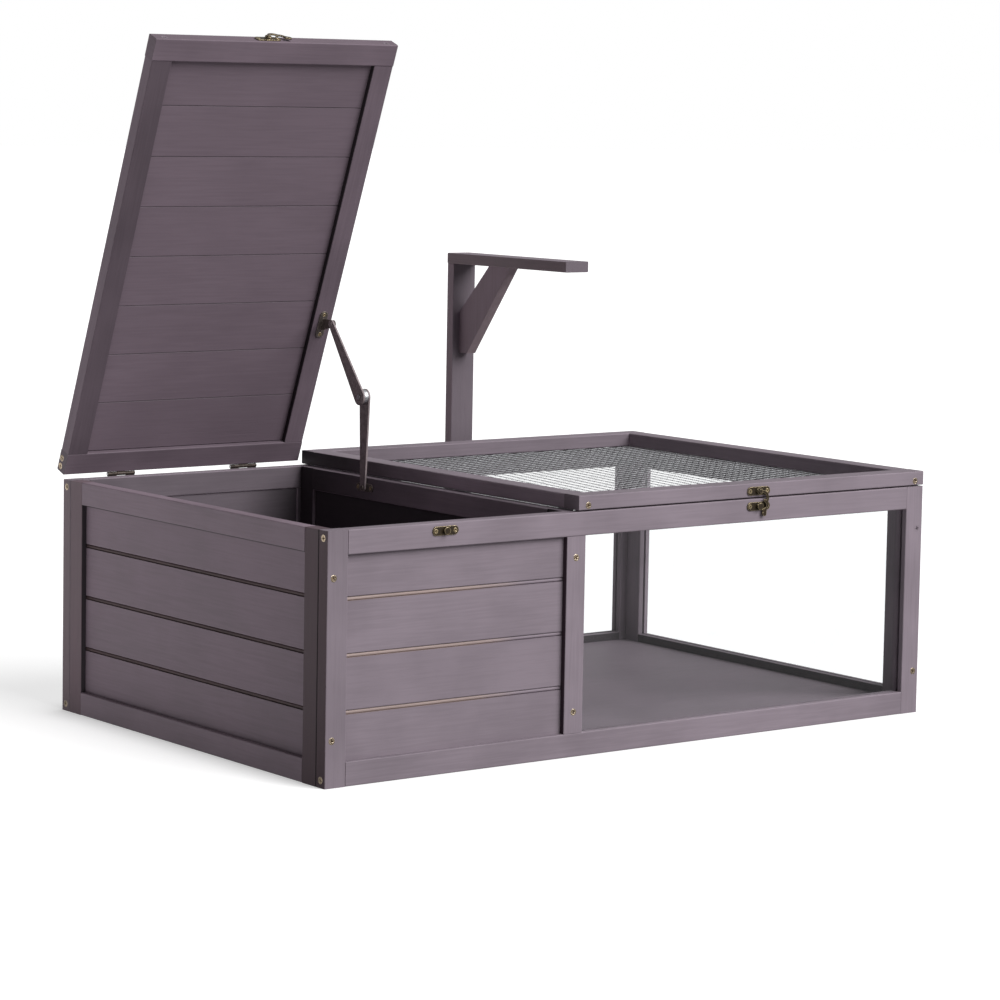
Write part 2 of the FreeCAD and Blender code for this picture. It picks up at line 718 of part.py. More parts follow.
def hinge_leaf(label, middle, faces, fixed):
    """One leaf of a butt hinge: the fixed leaf hangs below the axis, the lid's leaf stands above it."""
    body = new_body(label)
    ends = (f"{middle} - hinge_width / 2", f"{middle} + hinge_width / 2")
    inner = (f"{middle} - knuckle_half", f"{middle} + knuckle_half")
    if fixed:
        tall = ("axis_z - leaf_height", "axis_z")
        near_barrel = ("axis_z - barrel_radius - knuckle_gap", "axis_z")
        barrels = [(ends[0], f"{inner[0]} - knuckle_gap / 2"), (f"{inner[1]} + knuckle_gap / 2", ends[1])]
        notches = [(f"{inner[0]} - knuckle_gap / 2", f"{inner[1]} + knuckle_gap / 2")]
    else:
        tall = ("axis_z", "axis_z + leaf_height")
        near_barrel = ("axis_z", "axis_z + barrel_radius + knuckle_gap")
        barrels = [(f"{inner[0]} + knuckle_gap / 2", f"{inner[1]} - knuckle_gap / 2")]
        notches = [(ends[0], f"{inner[0]} + knuckle_gap / 2"), (f"{inner[1]} - knuckle_gap / 2", ends[1])]
    box(body, "Additive", (ends[0], faces[0], tall[0]), (ends[1], faces[1], tall[1]))
    for low, high in notches:
        box(body, "Subtractive", (low, faces[0], near_barrel[0]), (high, faces[1], near_barrel[1]))
    for low, high in barrels:
        rod(body, "Additive", (low, "axis_y", "axis_z"), RIGHTWARD, "barrel_radius", f"({high}) - ({low})")
    rod(body, "Subtractive", (ends[0], "axis_y", "axis_z"), RIGHTWARD, "pin_radius + pin_play",
        "hinge_width")
    return body


def hinges(name, left_side, right_side, rail):
    """Two butt hinges on the back edge of one lid."""
    made = {"fixed": [], "moving": [], "pins": [], "house_screws": [], "lid_screws": []}
    fixed_faces = ("back", "back + leaf_thick")
    moving_faces = ("lid_back", "lid_back + leaf_thick")
    for number, middle in enumerate((f"{left_side} + hinge_inset", f"{right_side} - hinge_inset"), 1):
        fixed = hinge_leaf(f"{name}_fixed_leaf_{number}", middle, fixed_faces, True)
        moving = hinge_leaf(f"{name}_moving_leaf_{number}", middle, moving_faces, False)
        pin = new_body(f"{name}_hinge_pin_{number}")
        rod(pin, "Additive", (f"{middle} - hinge_width / 2", "axis_y", "axis_z"), RIGHTWARD,
            "pin_radius", "hinge_width")
        for side in ("-", "+"):
            place = f"{middle} {side} hinge_width / 3"
            made["house_screws"].append(screw(
                "trim", (place, fixed_faces[1], "axis_z - leaf_screw"), FORWARD,
                [fixed, back_wall["top_rail"]]))
            made["lid_screws"].append(screw(
                "trim", (place, moving_faces[1], "axis_z + leaf_screw"), FORWARD, [moving, rail]))
        made["fixed"].append(fixed)
        made["moving"].append(moving)
        made["pins"].append(pin)
    return made


def screw_plate(label, middle, face, height):
    """A latch plate with rounded corners, on a face that looks to the front."""
    body = new_body(label)
    low = (f"{middle} - plate_long / 2", f"{face} - plate_thick", f"{height} - plate_high / 2")
    high = (f"{middle} + plate_long / 2", face, f"{height} + plate_high / 2")
    box(body, "Additive", low, high)
    ease(body, "Fillet", "Radius", "plate_round", "y")
    return body


def plate_screws(body, middle, face, height, behind):
    """The two small screws of a latch plate."""
    level = f"{face} - plate_thick"
    return [screw("trim", (f"{middle} {side} plate_screw", level, height), BACKWARD, [body, behind])
            for side in ("-", "+")]


def latch(name, middle, face, rail):
    """A swing latch: the plate with the hook's pin on the lid, the strike with its stud below it."""
    plate = screw_plate(f"{name}_latch_plate", middle, face, "latch_z")
    plate_face = f"{face} - plate_thick"
    rod(plate, "Additive", (middle, plate_face, "latch_z"), FORWARD, "boss_radius",
        f"{plate_face} - (hook_back + hook_play)")
    rod(plate, "Additive", (middle, plate_face, "latch_z"), FORWARD, "hook_pin",
        f"{plate_face} - (hook_face - hook_play)")
    rod(plate, "Additive", (middle, "hook_face - hook_play", "latch_z"), FORWARD, "rivet_cap", "cap_thick")
    strike = screw_plate(f"{name}_strike", middle, "front", "strike_z")
    rod(strike, "Additive", (middle, "strike_face", "strike_z"), FORWARD, "stud_radius",
        "strike_face - hook_face + hook_play")
    rod(strike, "Additive", (middle, "hook_face - hook_play", "strike_z"), FORWARD, "stud_cap",
        "cap_thick")
    return {
        "plate": plate,
        "strike": strike,
        "lid_screws": plate_screws(plate, middle, face, "latch_z", rail),
        "house_screws": plate_screws(strike, middle, "front", "strike_z", front_wall["top_rail"]),
    }


def hook(name, middle, turn, opening):
    """The hook of a swing latch, drawn round its stud and then swung to the right about its pin.

    A bow leads from the eye to a ring that is open to the left of the stud, with a thumb tail below it.
    """
    body = new_body(f"{name}_latch_hook")

    def disc(kind, across, height, radius):
        rod(body, kind, (across, "hook_back", height), FORWARD, radius, "hook_thick")

    bow = (f"{middle} + hook_bow_shift", "latch_z - hook_bow_drop")
    tail = (f"{middle} - hook_tail_lean", "strike_z - hook_tail")
    disc("Additive", *bow, "hook_bow")
    disc("Subtractive", *bow, "hook_bow - hook_band")
    box(body, "Subtractive", (f"{bow[0]} - hook_bow", "hook_face", f"{bow[1]} - hook_bow"),
        (bow[0], "hook_back", f"{bow[1]} + hook_bow"))
    disc("Additive", middle, "latch_z", "hook_eye")
    disc("Additive", middle, "strike_z", "ring_outer")
    outline(body, "XZ_Plane",
            [(f"{tail[0]} - hook_tail_radius", tail[1]), (f"{tail[0]} + hook_tail_radius", tail[1]),
             (f"{middle} + ring_inner", "strike_z - ring_inner"),
             (f"{middle} - ring_inner", "strike_z - ring_inner")],
            "-hook_back", "hook_thick")
    disc("Additive", *tail, "hook_tail_radius")
    disc("Subtractive", middle, "strike_z", "ring_inner")
    box(body, "Subtractive", (f"{middle} - ring_outer", "hook_face", "strike_z - ring_inner"),
        (f"{middle} + stud_radius", "hook_back", "strike_z + ring_outer"))
    box(body, "Subtractive", (f"{middle} - ring_outer", "hook_face", "strike_z - ring_outer"),
        (f"{middle} - hook_lip", "hook_back", "strike_z"))
    disc("Subtractive", middle, "latch_z", "hook_pin + pin_play")
    pivot = FreeCAD.Vector(value(middle), 0, value("latch_z"))
    swung = FreeCAD.Placement(FreeCAD.Vector(), FreeCAD.Rotation(AXES["y"], -turn), pivot)
    body.Placement = opening.multiply(swung)
    return node(body)


def lid_placement():
    """How the hide's lid stands open."""
    pivot = FreeCAD.Vector(0, value("axis_y"), value("axis_z"))
    return FreeCAD.Placement(FreeCAD.Vector(), FreeCAD.Rotation(AXES["x"], -value("lid_angle")), pivot)


def stay_arm(label, length, small_first, faces):
    """A tapered arm of the stay, drawn along Y from its first pivot, with a hole at each end."""
    body = new_body(label)
    thick = f"({faces[1]}) - ({faces[0]})"
    first, last = ("arm_small", "arm_big") if small_first else ("arm_big", "arm_small")
    slope = f"({last} - {first}) / {length}"
    flank = f"sqrt(1 - ({slope}) * ({slope}))"
    corners = [(f"-{first} * {slope}", f"-{first} * {flank}"),
               (f"{length} - {last} * {slope}", f"-{last} * {flank}"),
               (f"{length} - {last} * {slope}", f"{last} * {flank}"),
               (f"-{first} * {slope}", f"{first} * {flank}")]
    outline(body, "YZ_Plane", corners, "0", thick)
    rod(body, "Additive", ("0", "0", "0"), RIGHTWARD, first, thick)
    rod(body, "Additive", ("0", length, "0"), RIGHTWARD, last, thick)
    rod(body, "Subtractive", ("0", "0", "0"), RIGHTWARD, "rivet_radius + rivet_play", thick)
    return body


def stay(right_rail):
    """The folding stay: foot plate on the partition, two arms with a drum between, lid bracket."""
    foot = new_body("stay_foot_plate")
    box(foot, "Additive", ("foot_face", "foot_y - plate_long / 2", "foot_z - plate_high / 2"),
        ("part_left", "foot_y + plate_long / 2", "foot_z + plate_high / 2"))
    ease(foot, "Fillet", "Radius", "plate_round", "x")
    rod(foot, "Additive", ("foot_face", "foot_y", "foot_z"), LEFTWARD, "rivet_radius",
        "foot_face - lower_left + stay_gap")
    rod(foot, "Additive", ("lower_left - stay_gap", "foot_y", "foot_z"), LEFTWARD, "cap_radius",
        "cap_thick")
    foot_screws = [screw("trim", ("foot_face", f"foot_y {side} plate_screw", "foot_z"), RIGHTWARD,
                         [foot, inner_wall["top_rail"]]) for side in ("-", "+")]

    bracket = new_body("stay_head_bracket")
    middle = "head_y + bracket_shift"
    plate_low = "lid_low - plate_thick"
    box(bracket, "Additive", ("tab_mid - bracket_wide / 2", f"{middle} - plate_long / 2", plate_low),
        ("tab_mid + bracket_wide / 2", f"{middle} + plate_long / 2", "lid_low"))
    ease(bracket, "Fillet", "Radius", "plate_round", "z")
    corners = [("head_y - arm_small", "head_z"), ("head_y + arm_small", "head_z"),
               (f"{middle} + tab_wide / 2", plate_low), (f"{middle} - tab_wide / 2", plate_low)]
    outline(bracket, "YZ_Plane", corners, "tab_left", "tab_thick")
    rod(bracket, "Additive", ("tab_left", "head_y", "head_z"), RIGHTWARD, "arm_small", "tab_thick")
    head_screws = [screw("trim", ("tab_mid", f"{middle} {side} plate_screw", plate_low), UPWARD,
                         [bracket, right_rail]) for side in ("-", "+")]
    node(foot)
    node(bracket, LID_OPEN)

    foot_point = FreeCAD.Vector(0, value("foot_y"), value("foot_z"))
    head_point = lid_placement().multVec(FreeCAD.Vector(0, value("head_y"), value("head_z")))
    reach = head_point - foot_point
    lower_length = value("lower_length")
    upper_length = value("upper_length")
    lean = (lower_length ** 2 + reach.Length ** 2 - upper_length ** 2) / (2 * lower_length * reach.Length)
    lower_turn = math.atan2(reach.z, reach.y) + math.acos(lean)
    elbow = foot_point + FreeCAD.Vector(0, math.cos(lower_turn), math.sin(lower_turn)) * lower_length
    upper_turn = math.atan2(head_point.z - elbow.z, head_point.y - elbow.y)

    def laid(level, point, turn):
        base = FreeCAD.Vector(value(level), point.y, point.z)
        return FreeCAD.Placement(base, FreeCAD.Rotation(AXES["x"], math.degrees(turn)))

    lower = stay_arm("stay_lower_arm", "lower_length", True, ("lower_left", "lower_right"))
    lower.Placement = laid("lower_left", foot_point, lower_turn)
    upper = stay_arm("stay_upper_arm", "upper_length", False, ("upper_left", "upper_right"))
    rod(upper, "Additive", ("0", "upper_length", "0"), LEFTWARD, "cap_radius", "cap_thick")
    upper.Placement = laid("upper_left", elbow, upper_turn)
    drum = new_body("stay_knuckle")
    rod(drum, "Additive", ("0", "0", "0"), RIGHTWARD, "drum_radius", "drum_length")
    rod(drum, "Additive", ("0", "0", "0"), LEFTWARD, "rivet_radius", "drum_left - upper_left + stay_gap")
    rod(drum, "Additive", ("upper_left - stay_gap - drum_left", "0", "0"), LEFTWARD, "cap_radius",
        "cap_thick")
    drum.Placement = laid("drum_left", elbow, lower_turn)
    for body in (lower, drum, upper):
        node(body)
    return {"house_screws": foot_screws, "lid_screws": head_screws}


def lid_screws(frame, front_side, left_side, right_side):
    """Wood screws through a lid's front and back rails into its side rails."""
    level = "lid_mid - lid_screw_shift"
    made = []
    for rail, across in (("left_rail", f"{left_side} + frame_face / 2"),
                         ("right_rail", f"{right_side} - frame_face / 2")):
        made.append(screw("wood", (across, front_side, level), BACKWARD,
                          [frame["front_rail"], frame[rail]]))
        made.append(screw("wood", (across, "lid_back", level), FORWARD,
                          [frame["back_rail"], frame[rail]]))
    return made


def lid_end_screws(rail):
    """Two wood screws in the left end of the hide lid's back rail."""
    level = "lid_mid + lid_screw_shift"
    return [screw("wood", ("left", f"lid_back - {inset}", level), RIGHTWARD, [rail])
            for inset in ("lid_end_near", "lid_end_far")]


def check_document():
    """Stop if any object failed, or any sub-part is not made of sound solids."""
    doc.recompute()
    failed = [thing.Label for thing in doc.Objects if "Invalid" in thing.State or "Error" in thing.State]
    if failed:
        raise RuntimeError(f"failed objects: {failed}")
    for thing in nodes:
        if thing.Shape.isNull() or not thing.Shape.isValid() or not thing.Shape.Solids:
            raise RuntimeError(f"unsound sub-part: {thing.Label}")


def export():
    """Write each sub-part under its own name."""
    os.makedirs("parts", exist_ok=True)
    for thing in nodes:
        thing.Shape.exportStep(f"parts/{thing.Label}.step")
    print(f"{len(nodes)} sub-parts, {sum(len(thing.Shape.Solids) for thing in nodes)} solids")


fill_sheets()
blanks = {kind: screw_blank(kind) for kind in ("wood", "post", "trim")}
front_wall = long_wall("front", "front", "+")
back_wall = long_wall("back", "back", "-")
left_wall = end_wall("left", "left", "+", "boards")
right_wall = end_wall("right", "right", "-", "window")
inner_wall = partition()
floor()
lamp = lamp_stand()
hide_frame = lid_frame("hide_lid", "left", "hide_front", "hide_right", LID_OPEN, True)
mesh_frame = lid_frame("mesh_lid", "mesh_left", "mesh_front", "right", None, False)
wire_mesh()
carcase_screws()
hide_hinges = hinges("hide", "left", "hide_right", hide_frame["back_rail"])
mesh_hinges = hinges("mesh", "mesh_left", "right", mesh_frame["back_rail"])
hide_catch = latch("hide", "hide_latch", "hide_front", hide_frame["front_rail"])
mesh_catch = latch("mesh", "mesh_latch", "mesh_front", mesh_frame["front_rail"])
prop = stay(hide_frame["right_rail"])
hook("hide", "hide_latch", value("hook_swing"), lid_placement())
hook("mesh", "mesh_latch", value("hook_release"), FreeCAD.Placement())
group("hinge_fixed_leaves", hide_hinges["fixed"] + mesh_hinges["fixed"])
group("hinge_pins", hide_hinges["pins"] + mesh_hinges["pins"])
group("latch_strikes", [hide_catch["strike"], mesh_catch["strike"]])
group("house_trim_screws", hide_hinges["house_screws"] + mesh_hinges["house_screws"]
      + hide_catch["house_screws"] + mesh_catch["house_screws"] + prop["house_screws"])
group("hide_lid_hinge_leaves", hide_hinges["moving"], LID_OPEN)
group("mesh_lid_hinge_leaves", mesh_hinges["moving"])
group("hide_lid_screws", lid_screws(hide_frame, "hide_front", "left", "hide_right")
      + lid_end_screws(hide_frame["back_rail"]) + hide_hinges["lid_screws"] + hide_catch["lid_screws"]
      + prop["lid_screws"], LID_OPEN)
group("mesh_lid_screws", lid_screws(mesh_frame, "mesh_front", "mesh_left", "right")
      + mesh_hinges["lid_screws"] + mesh_catch["lid_screws"])
node(hide_catch["plate"], LID_OPEN)
node(mesh_catch["plate"])
check_document()
export()
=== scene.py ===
"""Looks of the tortoise house: painted boards and frames, clear windows, wire netting and brass fittings.

Lengths are in metres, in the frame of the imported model: X to the right, Y to the back, Z up.
Colours are linear, and a tone is a factor on a colour, for all channels or for each.
"""
import json
import math

import bmesh
import bpy
import numpy as np
from mathutils import Matrix, Vector


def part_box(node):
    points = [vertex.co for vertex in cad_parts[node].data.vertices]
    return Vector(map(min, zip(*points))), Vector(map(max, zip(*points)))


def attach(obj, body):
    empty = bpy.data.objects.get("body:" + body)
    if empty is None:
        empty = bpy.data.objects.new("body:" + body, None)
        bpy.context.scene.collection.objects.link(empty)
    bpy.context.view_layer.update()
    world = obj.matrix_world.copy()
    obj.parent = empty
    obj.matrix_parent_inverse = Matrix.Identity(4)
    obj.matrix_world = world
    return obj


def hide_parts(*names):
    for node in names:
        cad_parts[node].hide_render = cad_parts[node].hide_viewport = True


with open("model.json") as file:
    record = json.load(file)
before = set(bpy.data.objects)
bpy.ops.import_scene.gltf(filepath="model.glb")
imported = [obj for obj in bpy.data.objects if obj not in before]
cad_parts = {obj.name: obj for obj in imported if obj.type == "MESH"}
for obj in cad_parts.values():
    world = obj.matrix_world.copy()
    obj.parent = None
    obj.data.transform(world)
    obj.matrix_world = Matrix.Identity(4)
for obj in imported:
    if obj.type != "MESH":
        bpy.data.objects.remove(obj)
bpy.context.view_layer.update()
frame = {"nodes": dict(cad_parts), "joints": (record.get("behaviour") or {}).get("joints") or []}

scene = bpy.context.scene
nodes = frame["nodes"]
joints = {joint["name"]: joint for joint in frame["joints"]}

# Axes by number, and the sides whose faces look against them
X, Y, Z = range(3)
LEFT, FRONT = X, Y

# The hide lid is stored open: its hinge line, its angle and its latch
LID_HINGE = joints["hide_lid_hinge"]
AXIS_Y = LID_HINGE["pos_m"][Y]
AXIS_Z = LID_HINGE["pos_m"][Z]
LID_ANGLE = -math.radians(LID_HINGE["range_deg"][0])
HIDE_LATCH_X = joints["hide_hook_pivot"]["pos_m"][X]

# Boards: the axis of their stack, its start and the width that each covers, for the lid as if it were shut
WALL_BOARDS = (Z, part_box("front_boards")[0].z, 0.066)
LID_BOARDS = (Y, -0.2763, 0.0678)

# Joints: the gap between boards, how far its colour passes its edge and its face, and a dark line's width
BOARD_GAP = 0.005
GAP_EDGE = 0.0004
FACE_SKIN = 0.0003
JOINT_LINE = 0.0009

# Screws: the largest head on a fitting, and where heads were painted with the wood
SMALL_HEAD = 0.0035
LID_CORNER_HEIGHT = 0.80
LATCH_REACH = 0.08
RIGHT_STILE_X = 0.44
FRONT_FACE_Y = -0.29
PAINTED_HEIGHTS = (0.20, 0.29)
SCREW_SIDES = 24
SAME_POINT = 1e-6
SAME_LEVEL = 1e-5

# Netting: steps from knot to knot, half the length of a twisted pair, radii of the wires and its edges
NET_ROW = Vector((-0.0024, -0.0147, 0))
NET_COLUMN = Vector((-0.0158, -0.0048, 0))
HALF_PAIR = 0.0045
PAIR_RADII = (0.00062, 0.00036)
PAIR_STEPS = 6
PAIR_TWIST = math.tau * 1.5
SINGLE_RADII = (0.00036, 0.00036)
EDGE_RADII = (0.00055, 0.00055)
WIRE_SIDES = 6
SHORTEST_SHARE = 0.05
NET_MARGIN = 0.0006
NET_UNDER_RAIL = 0.003

# Patterns of the painted wood, repeats in a metre: across and along the grain, or the same all ways
FINE_GRAIN = (340.0, 14.0)
COARSE_GRAIN = (26.0, 2.2)
GRAIN_PATCHES = (9.1, 0.77)
CLOUDS = 9.0
EDGE_WEAR_AND_HIGHLIGHT = 60.0
GRAIN_DEPTH = 0.00022
BOARD_SEED = 7.3
BOARD_JUMP = (1.7, 2.9, 0.9)

# Patterns of the metal, repeats in a metre, its dents and the width of its worn edges with their painted
# highlight
SPOTS = 160.0
SPECKS = 1440.0
DENT = 0.00005
WORN_AND_HIGHLIT_WIDTH = 0.0009

# How far a face is square to an axis: from a bevel to a flat side, and from askew to turned to a side
BEVEL_TO_FLAT = (0.80, 0.985)
ASKEW_TO_TURNED = (0.60, 0.95)

# Colours and the tone that changes nothing
PAINT = (0.262, 0.216, 0.252)
# The lid's paint: a darker, warmer copy of the paint, as painted shade
LID_SHADED_PAINT = (0.181, 0.1375, 0.168)
BARE_WOOD = (0.40, 0.31, 0.29)
# Bare wood made darker as painted shade, for the left wall's joints
SHADED_BARE_WOOD = (0.075, 0.054, 0.054)
BRONZE = (0.058, 0.040, 0.021)
# Bright brass for worn edges, which also stands as a painted highlight
GOLD = (0.92, 0.74, 0.44)
WHITE = (1.0, 1.0, 1.0)
BLACK = (0.0, 0.0, 0.0)
PLAIN = 1.0


def scaled(colour, tone):
    """A colour made darker or paler."""
    return tuple(channel * tone for channel in colour)


class Graph:
    """Short calls for the nodes that the materials share."""

    def __init__(self, tree, output):
        tree.nodes.clear()
        self.tree = tree
        self.output = self.add(output)

    def add(self, kind, inputs=None, **settings):
        """A node with its settings, and with some of its inputs by name or number."""
        node = self.tree.nodes.new("ShaderNode" + kind)
        for name, setting in settings.items():
            setattr(node, name, setting)
        for socket, value in (inputs or {}).items():
            self.put(node.inputs[socket], value)
        return node

    def put(self, socket, value):
        """Link a socket to another one, or set its number, vector or colour."""
        if isinstance(value, bpy.types.NodeSocket):
            self.tree.links.new(value, socket)
        elif hasattr(socket.default_value, "__len__") and not hasattr(value, "__len__"):
            socket.default_value = [value] * len(socket.default_value)
        elif hasattr(value, "__len__") and len(socket.default_value) == 4 and len(value) == 3:
            socket.default_value = (*value, 1.0)
        else:
            socket.default_value = value

    def show(self, node):
        """Link a shader to the graph's output."""
        self.put(self.output.inputs["Surface"], node.outputs[0])

    def math(self, operation, *values):
        return self.add("Math", dict(enumerate(values)), operation=operation).outputs[0]

    def spread(self, value, low, high, out_low=0.0, out_high=1.0):
        """A value between two levels, moved smoothly to two other levels and held at the ends."""
        levels = dict(enumerate((value, low, high, out_low, out_high)))
        return self.add("MapRange", levels, interpolation_type="SMOOTHSTEP", clamp=True).outputs[0]

    def blend(self, share, first, second, mode="MIX"):
        """The first colour or tone at a share of nought, the second at one."""
        ends = {"Factor": share, 6: first, 7: second}
        return self.add("Mix", ends, data_type="RGBA", blend_type=mode).outputs[2]

    def toned(self, colour, tone):
        return self.blend(1.0, colour, tone, "MULTIPLY")

    def noise(self, place, scale, detail=3.0, rough=0.5, distort=0.0):
        return self.add("TexNoise", {"Vector": place, "Scale": scale, "Detail": detail, "Roughness": rough,
                                     "Distortion": distort}).outputs["Fac"]

    def mapped(self, place, scale=(1, 1, 1), turn=(0, 0, 0), shift=(0, 0, 0)):
        return self.add("Mapping", {"Vector": place, "Location": shift, "Rotation": turn,
                                    "Scale": scale}).outputs[0]

    def split(self, vector):
        return self.add("SeparateXYZ", {0: vector}).outputs

    def combine(self, *parts):
        return self.add("CombineXYZ", dict(enumerate(parts))).outputs[0]

    def bump(self, height, distance, strength, normal=None):
        relief = self.add("Bump", {"Strength": strength, "Distance": distance, "Height": height})
        if normal:
            self.put(relief.inputs["Normal"], normal)
        return relief.outputs[0]

    def facing(self, normal, side):
        """One on the faces that look to a side, nought on the others."""
        return self.spread(self.math("MULTIPLY", self.split(normal)[side], -1.0), *ASKEW_TO_TURNED)

    def bevelled(self, normal):
        """One on the bevels, nought on the faces that are square to an axis."""
        x, y, z = [self.math("ABSOLUTE", part) for part in self.split(normal)]
        widest = self.math("MAXIMUM", x, self.math("MAXIMUM", y, z))
        return self.spread(widest, *BEVEL_TO_FLAT, 1.0, 0.0)


def new_material(name):
    """A material and its empty graph."""
    material = bpy.data.materials.new(name)
    material.use_nodes = True
    return material, Graph(material.node_tree, "OutputMaterial")


def object_place(graph, slanted=False):
    """Object coordinates and normal, turned so that the open lid's pieces read as if shut."""
    source = graph.add("TexCoord")
    place = source.outputs["Object"]
    normal = source.outputs["Normal"]
    if slanted:
        place = graph.mapped(place, shift=(0, -AXIS_Y, -AXIS_Z))
        place = graph.mapped(place, turn=(LID_ANGLE, 0, 0), shift=(0, AXIS_Y, AXIS_Z))
        normal = graph.mapped(normal, turn=(LID_ANGLE, 0, 0))
    return place, normal


def past_start(graph, place, boards):
    """How far a point lies past the start of a stack of boards."""
    stack, start, _ = boards
    return graph.math("SUBTRACT", graph.split(place)[stack], start)


def board_place(graph, place, boards):
    """Coordinates that jump from board to board, and each board's own random share."""
    cover = boards[2]
    number = graph.math("FLOOR", graph.math("DIVIDE", past_start(graph, place, boards), cover))
    draw = graph.add("TexWhiteNoise", noise_dimensions="1D")
    graph.put(draw.inputs["W"], graph.math("ADD", number, BOARD_SEED))
    share = draw.outputs["Value"]
    jump = graph.combine(*[graph.math("MULTIPLY", share, reach) for reach in BOARD_JUMP])
    return graph.add("VectorMath", {0: place, 1: jump}, operation="ADD").outputs[0], share


def open_joints(graph, place, boards, depth_axis, face):
    """One in the open gaps between boards, behind the level of their face, and nought elsewhere."""
    cover = boards[2]
    depth = graph.math("SUBTRACT", graph.split(place)[depth_axis], face)
    inside = graph.math("GREATER_THAN", depth, FACE_SKIN)
    past_board = graph.math("FLOORED_MODULO", past_start(graph, place, boards), cover)
    in_gap = graph.math("LESS_THAN", graph.math("SUBTRACT", cover, past_board), BOARD_GAP + GAP_EDGE)
    return graph.math("MULTIPLY", inside, in_gap)


def paint(name, grain, slanted=False, boards=None, stain=PAINT, joint=None, shade=None, clouds=0.10):
    """Mauve-grey satin paint on softwood.

    grain is the axis that the wood's fibres follow, and slanted is for the pieces of the open lid.
    boards gives the stacking axis, its start and the cover of each board.
    joint gives the colour of the beads in open joints, the depth axis and the level past which they lie.
    shade gives a tone of painted shade and light, by which some faces are darker or paler.
    clouds is the share by which broad patches are darker or paler.
    """
    # The colour given for the paint is at times a darker or paler copy of it, as painted shade and light
    material, graph = new_material(name)
    place, normal = object_place(graph, slanted)
    spot, board_share = board_place(graph, place, boards) if boards else (place, 0.0)

    def grain_noise(repeats, **settings):
        """Noise that is stretched along the grain."""
        across, along = repeats
        stretch = [along if axis == grain else across for axis in (X, Y, Z)]
        return graph.noise(graph.mapped(spot, scale=stretch), 1.0, **settings)

    def stained(colour, share, most, tone):
        """The colour, moved by a share towards a darker or paler tone of the paint."""
        return graph.blend(graph.math("MULTIPLY", share, most), colour, scaled(stain, tone))

    fine = grain_noise(FINE_GRAIN, detail=4.0, rough=0.6, distort=0.25)
    coarse = grain_noise(COARSE_GRAIN, rough=0.55, distort=0.6)
    patches = graph.spread(grain_noise(GRAIN_PATCHES, detail=2.0), 0.45, 0.7)
    streaks = graph.math("MULTIPLY", graph.spread(fine, 0.5, 0.72), patches)
    cloud = graph.noise(spot, CLOUDS)
    wear_and_highlight_breakup = graph.spread(graph.noise(spot, EDGE_WEAR_AND_HIGHLIGHT, rough=0.6), 0.42, 0.66)

    darkest, palest = scaled(stain, 1.0 - clouds), scaled(stain, 1.0 + clouds)
    colour = graph.blend(graph.spread(cloud, 0.3, 0.7), darkest, palest)
    colour = stained(colour, coarse, most=0.16, tone=0.78)
    colour = stained(colour, streaks, most=0.40, tone=0.70)
    colour = graph.toned(colour, graph.spread(fine, 0.30, 0.70, 0.935, 1.05))
    if boards:
        colour = stained(colour, board_share, most=0.14, tone=0.72)
    # Bevels are paler, partly from wear and partly as a painted highlight
    worn_and_highlit = graph.math("MULTIPLY", graph.bevelled(normal), wear_and_highlight_breakup)
    colour = stained(colour, worn_and_highlit, most=0.30, tone=1.45)
    if joint:
        bead, depth_axis, face = joint
        gaps = open_joints(graph, place, boards, depth_axis, face)
        colour = graph.blend(gaps, colour, bead(graph, place, spot))
    if shade:
        colour = graph.toned(colour, shade(graph, place, normal))

    height = graph.math("ADD", graph.math("MULTIPLY", fine, 0.6), graph.math("MULTIPLY", coarse, 0.5))
    height = graph.math("SUBTRACT", height, graph.math("MULTIPLY", streaks, 0.7))
    graph.show(graph.add("BsdfPrincipled", {
        "Base Color": colour,
        "Roughness": graph.spread(cloud, 0.2, 0.8, 0.50, 0.64),
        "Specular IOR Level": 0.22,
        "Normal": graph.bump(height, GRAIN_DEPTH, strength=0.55),
    }))
    return material


def fibres(graph, spot, repeats, dark, pale):
    """Wood of two colours in fine fibres."""
    fibre = graph.noise(graph.mapped(spot, scale=repeats), 1.0, detail=4.0, rough=0.6)
    return graph.blend(graph.spread(fibre, 0.35, 0.65), dark, pale)


def front_bead(graph, place, spot):
    """Bare tan wood on the left, painted over towards the right."""
    bare_end, painted_start = -0.225, -0.125
    wobble = graph.math("MULTIPLY", graph.noise(spot, 22.0), 0.09)
    across = graph.math("ADD", graph.split(place)[X], wobble)
    bare = graph.spread(across, bare_end, painted_start, 1.0, 0.0)
    return graph.blend(bare, PAINT, fibres(graph, spot, (10, 500, 700), scaled(BARE_WOOD, 0.8), BARE_WOOD))


def shaded_bead(graph, place, spot):
    """Bare wood in the left wall's joints, painted dark brown as shade."""
    return fibres(graph, spot, (500, 10, 700), SHADED_BARE_WOOD, scaled(SHADED_BARE_WOOD, 1.5))


def side_stain(side, tone):
    """A painted shade for the faces that look to one side."""
    def shade(graph, place, normal):
        return graph.blend(graph.facing(normal, side), PLAIN, tone)
    return shade


def changing_stain(side, along, places, tones):
    """A tone of painted shade and light for the faces that look to one side, which changes between two
    places along an axis.
    """
    def shade(graph, place, normal):
        tone = graph.spread(graph.split(place)[along], *places, *tones)
        return graph.blend(graph.facing(normal, side), PLAIN, tone)
    return shade


def corner_shade(graph, place, normal):
    """Painted shade: the corner stile's outer edge is much darker than its face, and its front face a
    little darker.
    """
    face = graph.blend(graph.facing(normal, FRONT), PLAIN, 0.84)
    return graph.blend(graph.facing(normal, LEFT), face, (0.38, 0.30, 0.31))


